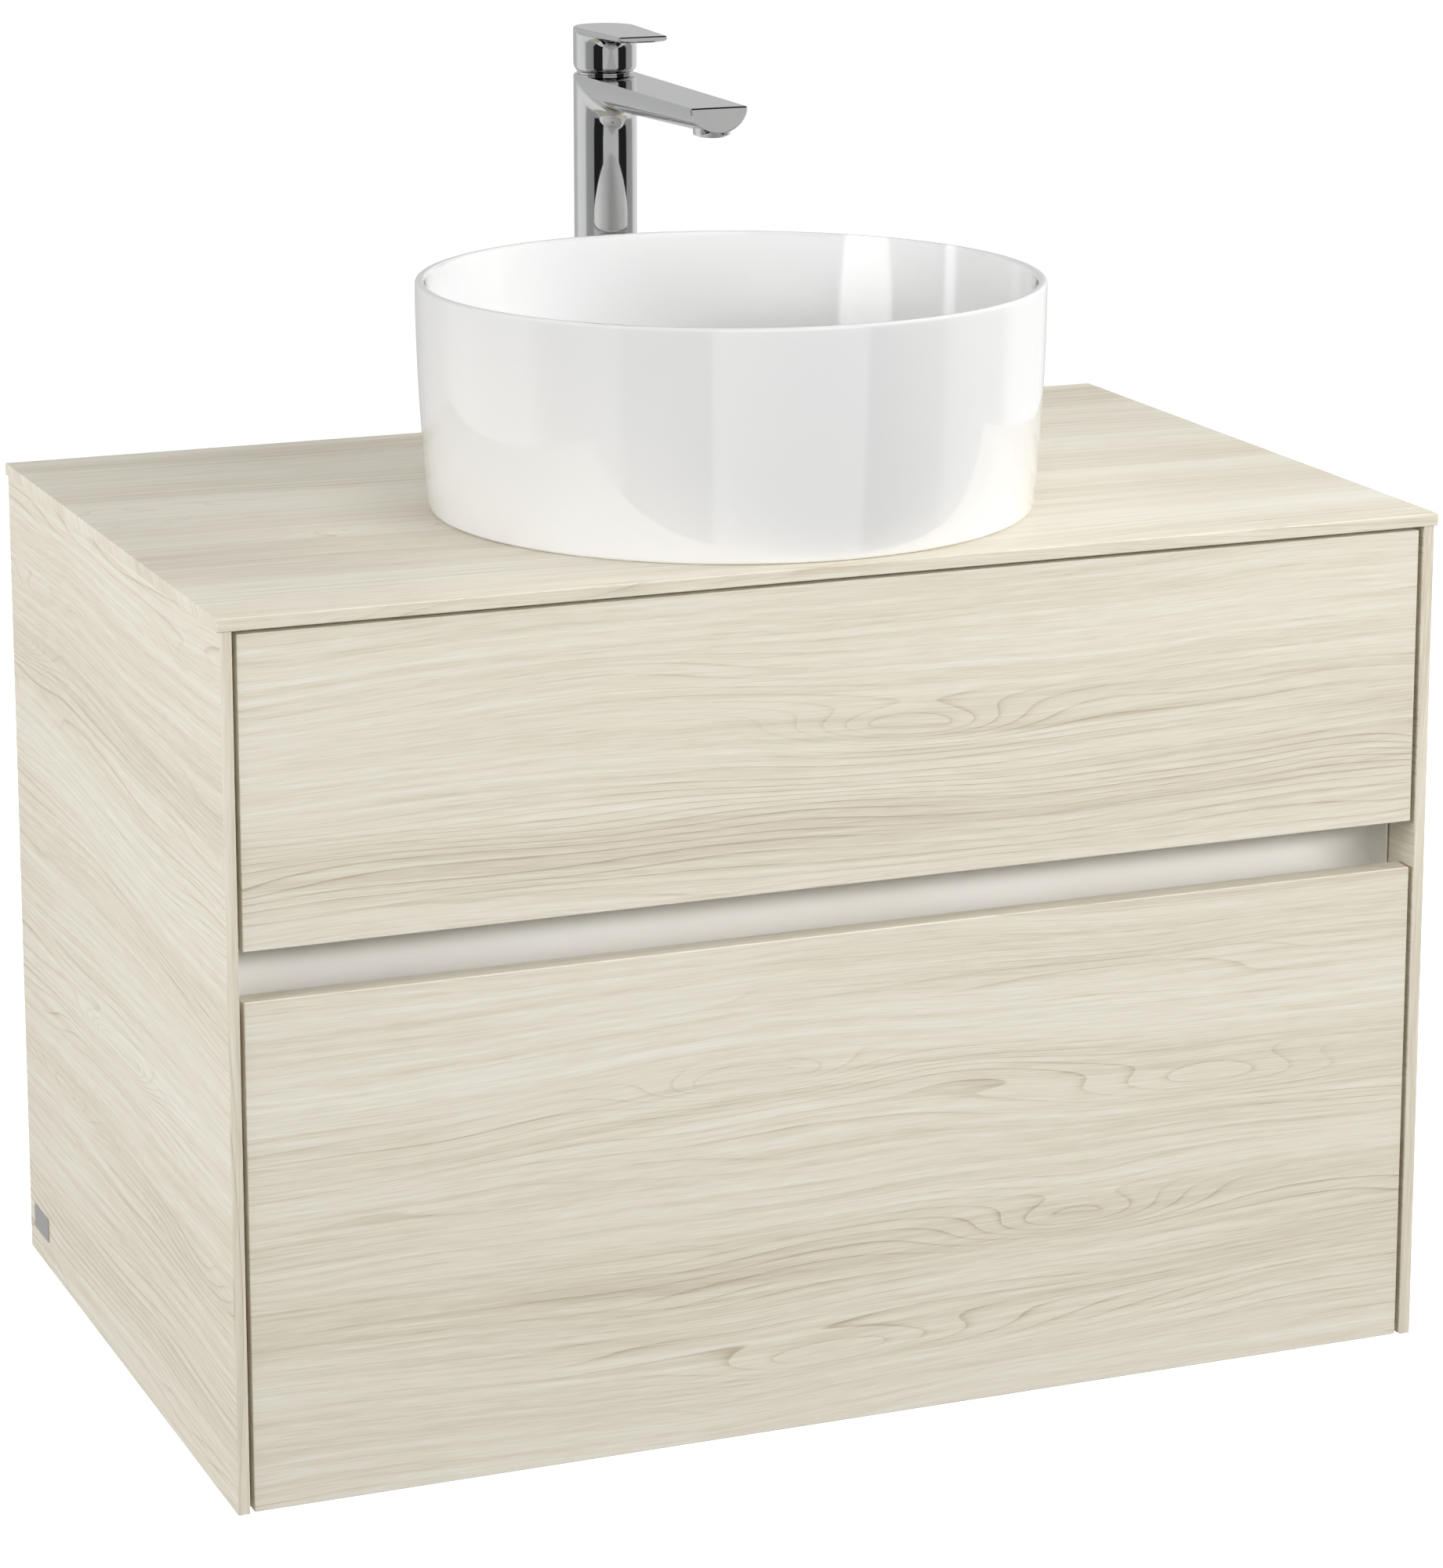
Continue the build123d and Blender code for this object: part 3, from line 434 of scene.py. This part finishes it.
top_z, basin_y = 70.0, -297.0
rim_r, foot_r, basin_height, rim_thick = 200.0, 193.0, 145.0, 6.0
rim_round, foot_round, bowl_round, belly_r = 2.4, 2.5, 42.0, 1500.0
floor_z, sink_z, bore_r = 18.0, 15.0, 21.5
foot_width, foot_hollow = 9.0, 3.0
inner_r = rim_r - rim_thick
rim_outside, rim_inside = (rim_r, basin_height), (inner_r, basin_height)
wall_low, drain_edge = (inner_r - 5, floor_z + 4.5), (36, floor_z)

# The outside leans straight from foot to rim, plus the height of a flat arc of the belly's radius.
heights = np.linspace(foot_round, basin_height - rim_round, 40)
lean = foot_r + (rim_r - foot_r) * heights / basin_height
belly = heights * (basin_height - heights) / (2 * belly_r)
outside = np.stack([lean + belly, heights], axis=1)
foot_inside = foot_r - foot_width
profile = np.vstack([
    corner((foot_inside, 0), (foot_r, 0), tuple(outside[0]), foot_round),
    outside[1:-1],
    corner(tuple(outside[-1]), rim_outside, rim_inside, rim_round),
    corner(rim_outside, rim_inside, wall_low, rim_round),
    np.linspace((inner_r - 0.2, basin_height - 6), (inner_r - 3.4, floor_z + 50), 12),
    corner(rim_inside, wall_low, drain_edge, bowl_round, 24),
    np.linspace((140, floor_z + 3.05), (40, floor_z + 0.12), 12),
    [drain_edge, (34.6, floor_z - 0.4), (34, floor_z - 1.2), (34, sink_z)],
    [(bore_r, sink_z), (bore_r, foot_hollow), (foot_inside, foot_hollow), (foot_inside, 0)],
])
profile[:, 1] += top_z
basin = turn("basin_glazed", profile, (0, basin_y), glaze, 256)
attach(basin, "cabinet")
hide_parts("basin")

# ------------------------------------------------------------------------------------------------
# Seals: rubber rings above and below the basin's floor, a foam ring under its foot, and the ring
# under the faucet. All are moulded or die cut in black, and squeezed between the parts.
# ------------------------------------------------------------------------------------------------
rubber, tree, surface, point = finish_of("black rubber", 0.62)
bloom = mottle(tree, point, 500.0, 3.0)
shades(tree, surface, bloom, (0.3, (30, 30, 31)), (0.75, (52, 52, 53)))
dress(rubber, "basin_seals", "faucet_base_seal")

# ------------------------------------------------------------------------------------------------
# Waste, trap and outlet pipe: brass turned and polished, then chrome plated. The trap hangs from
# the waste by a slip nut and runs back to the wall.
# ------------------------------------------------------------------------------------------------
chrome, tree, surface, point = finish_of("polished chrome", 0.05, 1.0)
smears = mottle(tree, point, 38.0, 4.0)
shades(tree, surface, smears, (0.3, (204, 205, 206)), (0.7, (209, 209, 208)))
uneven_gloss(tree, surface, smears, 0.02, 0.04)
dress(
    chrome,
    "waste_body", "waste_cover", "tailpiece", "tailpiece_nut", "trap_body", "trap_cup",
    "trap_nuts", "outlet_pipe",
)

# ------------------------------------------------------------------------------------------------
# Faucet: a cast brass post with a tapering spout, flat on top and half round below, that sweeps
# into the post; ground, polished and chrome plated. A domed collar, a lever and an aerator go
# with it.
# ------------------------------------------------------------------------------------------------
tap_y, tap_r = -72.3, 21.25
post_low, post_top = 71.0, 320.0
aerator_y = -264.5
dome_z, dome_r, dome_inner_r = 319.0, 17.4, 16.0
lever_low, lever_tilt, lever_hollow_r = 322.3, 20, 17.9


def arm_on_post(tip_y, top, widths, depths, shape, blend, edge, bore, foot):
    """Points and quads of a round post with an arm that leaves its top towards the user.

    The arm's section at each distance is flat above, and below it follows x = half width times
    sine and depth times cosine raised to shape: 1 gives half an ellipse, less gives a flatter
    blade. Where it meets the post each line of the underside turns down through an arc whose
    radius shrinks towards the flanks. A chamfer as wide as edge runs round the top and the tip.
    bore is the hole in the top, as radius and floor, and foot gives the rows that close the
    post's lower end as (radius, height) for each angle round it.
    """
    arm_rows, sweep_rows, post_rows = 40, 14, 24
    u = np.linspace(-1, 1, 97)
    front = np.pi / 2 * (1.5 * u - 0.5 * u**3)
    sine, cosine = np.sin(front), np.clip(np.cos(front), 0, 1)
    cosine[[0, -1]] = 0.0
    shade = cosine**shape
    radius = blend * cosine
    meet = tap_y - tap_r * cosine - radius

    # Underside, from the tip's flat face along the arm and down into the post.
    y = tip_y + edge + np.linspace(0, 1, arm_rows)[:, None] * (meet - tip_y - edge)
    t = (tap_y - y) / (tap_y - tip_y)
    half = widths[0] + (widths[1] - widths[0]) * t
    depth = depths[0] + (depths[1] - depths[0]) * t
    arm = np.stack([half * sine, y, top - edge - (depth - edge) * shade], axis=-1)
    fall = np.radians(np.linspace(0, 90, sweep_rows))[1:, None]
    last = arm[-1]
    sweep = np.stack(
        [
            last[:, 0] + (tap_r * sine - last[:, 0]) * np.sin(fall),
            meet + radius * np.sin(fall),
            last[:, 2] - radius * (1 - np.cos(fall)),
        ],
        axis=-1,
    )
    drop = np.array([[0.0], [1.0]])
    face = np.stack(
        [
            np.repeat((widths[1] - edge) * sine[None, :], 2, axis=0),
            np.full((2, len(u)), tip_y),
            top - edge - (depths[1] - 2 * edge) * shade * drop,
        ],
        axis=-1,
    )
    patches = [np.concatenate([face, arm, sweep])]

    # Post, from the arm's root and the chamfer behind it down to its foot.
    back = np.radians(np.linspace(90, 270, 65))[1:]
    ring = np.concatenate([front, back])
    start = np.concatenate([sweep[-1, :, 2], np.full(len(back), top - edge)])
    rows = foot(ring)
    heights = start + np.linspace(0, 1, post_rows)[:, None] * (rows[0][1] - start)
    radii = np.full_like(heights, tap_r)
    heights = np.vstack([heights] + [np.broadcast_to(h, ring.shape)[None] for _, h in rows[1:]])
    radii = np.vstack([radii] + [np.broadcast_to(r, ring.shape)[None] for r, _ in rows[1:]])
    post = [radii * np.sin(ring), tap_y - radii * np.cos(ring), heights]
    patches.append(np.stack(post, axis=-1))

    # Top: round its outline, in over the chamfer, then to the hole, down its wall and to its axis.
    def back_arc(radius, height):
        """The half circle round the post's back."""
        x, y = radius * np.sin(back), tap_y - radius * np.cos(back)
        return np.stack([x, y, np.full(len(back), height)], axis=-1)

    outer = np.vstack([
        face[0], arm[:, -1], back_arc(tap_r, top - edge), arm[::-1, 0], face[0, :1],
    ])
    inner = np.vstack([
        face[0] + (0, edge, edge),
        arm[:, -1] + (-edge, 0, edge),
        back_arc(tap_r - edge, top),
        arm[::-1, 0] + (edge, 0, edge),
        face[0, :1] + (0, edge, edge),
    ])
    way = inner[:, :2] - (0, tap_y)
    way = way / np.linalg.norm(way, axis=1)[:, None]
    hole_r, hole_z = bore
    hole = np.column_stack([hole_r * way + (0, tap_y), np.full(len(way), top)])
    well = np.column_stack([hole[:, :2], np.full(len(way), hole_z)])
    centre = np.broadcast_to((0.0, tap_y, hole_z), well.shape)
    patches.append(np.stack([outer, inner, hole, well, centre]))

    points, faces, count = [], [], 0
    for patch in patches:
        rows, columns = patch.shape[:2]
        points.append(patch.reshape(-1, 3))
        faces.append(grid_faces(rows, columns, count))
        count += rows * columns
    return np.vstack(points), np.vstack(faces)


def flat_foot(ring):
    """The post stands on its seal and is closed by a flat disc with a small chamfer."""
    soft = 0.6
    return [(tap_r, np.full(len(ring), post_low + soft)), (tap_r - soft, post_low), (0.0, post_low)]


points, faces = arm_on_post(
    tip_y=-277.4, top=post_top, widths=(tap_r, 19.5), depths=(23.0, 16.8), shape=1.0,
    blend=14.0, edge=0.9, bore=(17.5, 286.0), foot=flat_foot,
)
body = skin("faucet_post_and_spout", points, faces, chrome)
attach(body, "cabinet")
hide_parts("faucet_body")

boss_profile = [
    (12, 309), (12, 302.2), (11.75, 301.5), (11.2, 301.1), (10.6, 301), (8.6, 301), (8.6, 309),
]
boss = turn("aerator_boss", np.array(boss_profile, float), (0, aerator_y), chrome, 96, 50)
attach(boss, "cabinet")
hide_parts("faucet_body")

ring_profile = [
    (8.55, 309), (8.55, 300.5), (8.4, 300.15), (8.05, 300),
    (7.5, 300), (7.15, 300.2), (7, 300.6), (7, 309),
]
housing = turn("aerator_ring", np.array(ring_profile), (0, aerator_y), chrome, 96, 50)
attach(housing, "cabinet")
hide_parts("aerator_housing")

# The collar is a thin dome on a flange, open at the crown where the stem comes through.
outer_arc = np.radians(np.linspace(10, 44.5, 24))
inner_arc = np.radians(np.linspace(40.3, 3.6, 16))
collar_profile = np.vstack([
    [(16.4, 320), (18.7, 320), (19, 320.3), (19, 321.2), (18.7, 321.5), (17.5, 321.5)],
    np.column_stack([dome_r * np.cos(outer_arc), dome_z + dome_r * np.sin(outer_arc)]),
    [(12.2, 331.2), (12.2, 330.0)],
    np.column_stack([dome_inner_r * np.cos(inner_arc), dome_z + dome_inner_r * np.sin(inner_arc)]),
])
collar = turn("dome_collar_shell", collar_profile, (0, tap_y), chrome, 128, 40)
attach(collar, "cabinet")
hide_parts("dome_collar")


def lever_foot(ring):
    """The cap's lower edge turns in round the collar, with a hollow dome inside.

    Behind, the edge rises by the distance back times the tangent of the tilt that it leaves room
    for. The hollow is a sphere about the collar's centre.
    """
    behind = np.clip(-np.cos(ring), 0, 1) * tap_r
    low = lever_low + np.tan(np.radians(lever_tilt)) * behind
    rows = [(tap_r, low + 2.4)]
    for inward, rise in ((0.25, 1.4), (0.8, 0.6), (1.6, 0.12), (2.2, 0.0)):
        rows.append((tap_r - inward, low + rise))
    reach = np.arcsin((low - dome_z) / lever_hollow_r)
    for step in np.linspace(0, 1, 12):
        angle = reach + (np.pi / 2 - reach) * step
        radius = np.where(step == 1, 0.0, lever_hollow_r * np.cos(angle))
        rows.append((radius, dome_z + lever_hollow_r * np.sin(angle)))
    return rows


points, faces = arm_on_post(
    tip_y=-144.1, top=351.3, widths=(tap_r, 16.9), depths=(6.6, 4.0), shape=0.3,
    blend=8.0, edge=0.8, bore=(2.0, 351.3), foot=lever_foot,
)
lever = skin("lever_cap_and_blade", points, faces, chrome)
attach(lever, "lever")
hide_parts("lever_handle")

# ------------------------------------------------------------------------------------------------
# Cartridge and aerator insert: the stem and the nut that holds the cartridge down are turned from
# brass bar. The insert is moulded in dark plastic and pressed into its ring.
# ------------------------------------------------------------------------------------------------
brass, tree, surface, point = finish_of("turned brass", 0.3, 1.0)
place = add(tree, "ShaderNodeSeparateXYZ", {"Vector": point}).outputs
tooling = streaks(tree, place["X"], place["Z"], 4.0, (50.0, 3000.0))
shades(tree, surface, tooling, (0.3, (196, 164, 98)), (0.7, (214, 184, 118)))
dress(brass, "cartridge_nut", "cartridge_stem")

dark_plastic, tree, surface, point = finish_of("dark moulded plastic", 0.4)
grained = mottle(tree, point, 1200.0, 2.0)
shades(tree, surface, grained, (0.3, (38, 39, 41)), (0.7, (56, 57, 59)))
dress(dark_plastic, "aerator_insert")

# ------------------------------------------------------------------------------------------------
# Studio: a pale floor that glows a little and is mirrored in nothing, a white surround, soft
# lights, and the camera at the eye height of someone standing.
# ------------------------------------------------------------------------------------------------
ground_z, ground_half = -0.86, 40
ground = [
    (-ground_half, -ground_half, ground_z), (ground_half, -ground_half, ground_z),
    (ground_half, ground_half, ground_z), (-ground_half, ground_half, ground_z),
]
floor_mesh = bpy.data.meshes.new("floor")
floor_mesh.from_pydata(ground, [], [(0, 1, 2, 3)])
pale, _, surface, _ = finish_of("pale floor", 0.8, Emission_Strength=0.85)
surface.inputs["Base Color"].default_value = (0.93, 0.93, 0.93, 1)
surface.inputs["Emission Color"].default_value = (1, 1, 1, 1)
floor_mesh.materials.append(pale)
floor = bpy.data.objects.new("floor", floor_mesh)
bpy.context.scene.collection.objects.link(floor)
floor.visible_glossy = False
floor.visible_diffuse = False


def either(tree, share, first, second):
    """Mix two colours: a share of 0 gives the first, 1 the second."""
    sides = {0: share, 6: first, 7: second}
    return add(tree, "ShaderNodeMix", sides, data_type="RGBA").outputs[2]


def grey(level):
    """A neutral colour in the shader's linear terms."""
    return (level, level, level, 1)


# The surround: an even dim fill for matt surfaces. Polished ones mirror white walls beside and
# behind the object, greyer ones in front of it, a black card left and right of the front, and a
# dark round patch straight overhead.
world = bpy.data.worlds.new("surround")
bpy.context.scene.world = world
world.use_nodes = True
sky = world.node_tree
way = add(sky, "ShaderNodeTexCoord").outputs["Generated"]
way = add(sky, "ShaderNodeSeparateXYZ", {"Vector": way}).outputs
turned = calc(sky, "ARCTAN2", way["X"], calc(sky, "MULTIPLY", way["Y"], -1.0))
turned = calc(sky, "DIVIDE", calc(sky, "ABSOLUTE", turned), math.pi)
walls = add(sky, "ShaderNodeValToRGB", {"Fac": turned})
row = walls.color_ramp.elements
for degrees, level in (
    (0, 0.62), (27, 0.66), (30, 0.02), (61, 0.02), (64, 0.36),
    (92, 0.42), (101, 0.88), (135, 0.95), (155, 0.60),
):
    row.new(degrees / 180).color = grey(level)
row.remove(row[0])
row.remove(row[-1])
ceiling = ranged(sky, way["Z"], 0.86, 0.9, 1.0, 0.06)
mirrored = either(sky, ceiling, grey(0), walls.outputs[0])
rays = add(sky, "ShaderNodeLightPath").outputs
lit = either(sky, rays["Is Glossy Ray"], grey(0.17), mirrored)
seen = either(sky, rays["Is Camera Ray"], lit, grey(1))
sky.links.new(seen, sky.nodes["Background"].inputs["Color"])


def hang(name, lamp, place, aim):
    """Put a lamp at a place in metres, turned to face its aim, and not mirrored in anything."""
    way = np.subtract(aim, place)
    box = bpy.data.objects.new(name, lamp)
    tilt = math.atan2(math.hypot(way[0], way[1]), -way[2])
    box.rotation_euler = (tilt, 0, math.atan2(-way[0], way[1]))
    box.location = place
    box.visible_glossy = False
    bpy.context.scene.collection.objects.link(box)
    return box


for name, place, aim, size, power in (
    ("front softbox", (1.1, -3.5, 1.05), (0, -0.5, -0.15), (2.4, 0.5), 75),
    ("left softbox", (-3.4, -1.0, 0.7), (-0.4, -0.25, -0.2), (1.6, 1.2), 71),
    ("right softbox", (2.8, -0.9, 1.5), (0, -0.3, 0.15), (1.4, 1.2), 50),
    ("back softbox", (-1.2, 3.2, 0.0), (0, 0, -0.1), (1.6, 0.8), 45),
    ("top softbox", (0.2, -0.3, 3.0), (0, -0.25, 0), (2.0, 2.0), 24),
):
    lamp = bpy.data.lights.new(name, "AREA")
    lamp.shape = "RECTANGLE"
    lamp.size, lamp.size_y = size
    lamp.energy = power
    hang(name, lamp, place, aim).visible_camera = False

# Two slender beams come down over the front rim and lie as bright slips on the inside of the bowl.
for name, width, place, aim in (
    ("wide window beam", 0.26, (-0.547, -2.099, 1.594), (0.148, -0.171, 0.165)),
    ("thin window beam", 0.06, (-0.90, -2.00, 1.62), (0.183, -0.231, 0.18)),
):
    lamp = bpy.data.lights.new(name, "SPOT")
    lamp.energy = 80
    lamp.spot_size = math.radians(3.0)
    lamp.spot_blend = 0.0
    lamp.use_square = True
    lamp.shadow_soft_size = 0.002
    hang(name, lamp, place, aim).scale = (width, 1, 1)

camera = bpy.data.objects.new("camera", bpy.data.cameras.new("camera"))
camera.data.sensor_width = 36
camera.data.lens = 112.5
camera.data.shift_y = -0.15
camera.location = (-1.153, -3.139, 0.699)
camera.rotation_euler = (math.radians(77.85), 0, math.radians(-21.97))
bpy.context.scene.collection.objects.link(camera)
bpy.context.scene.camera = camera
bpy.context.scene.view_settings.view_transform = "Standard"
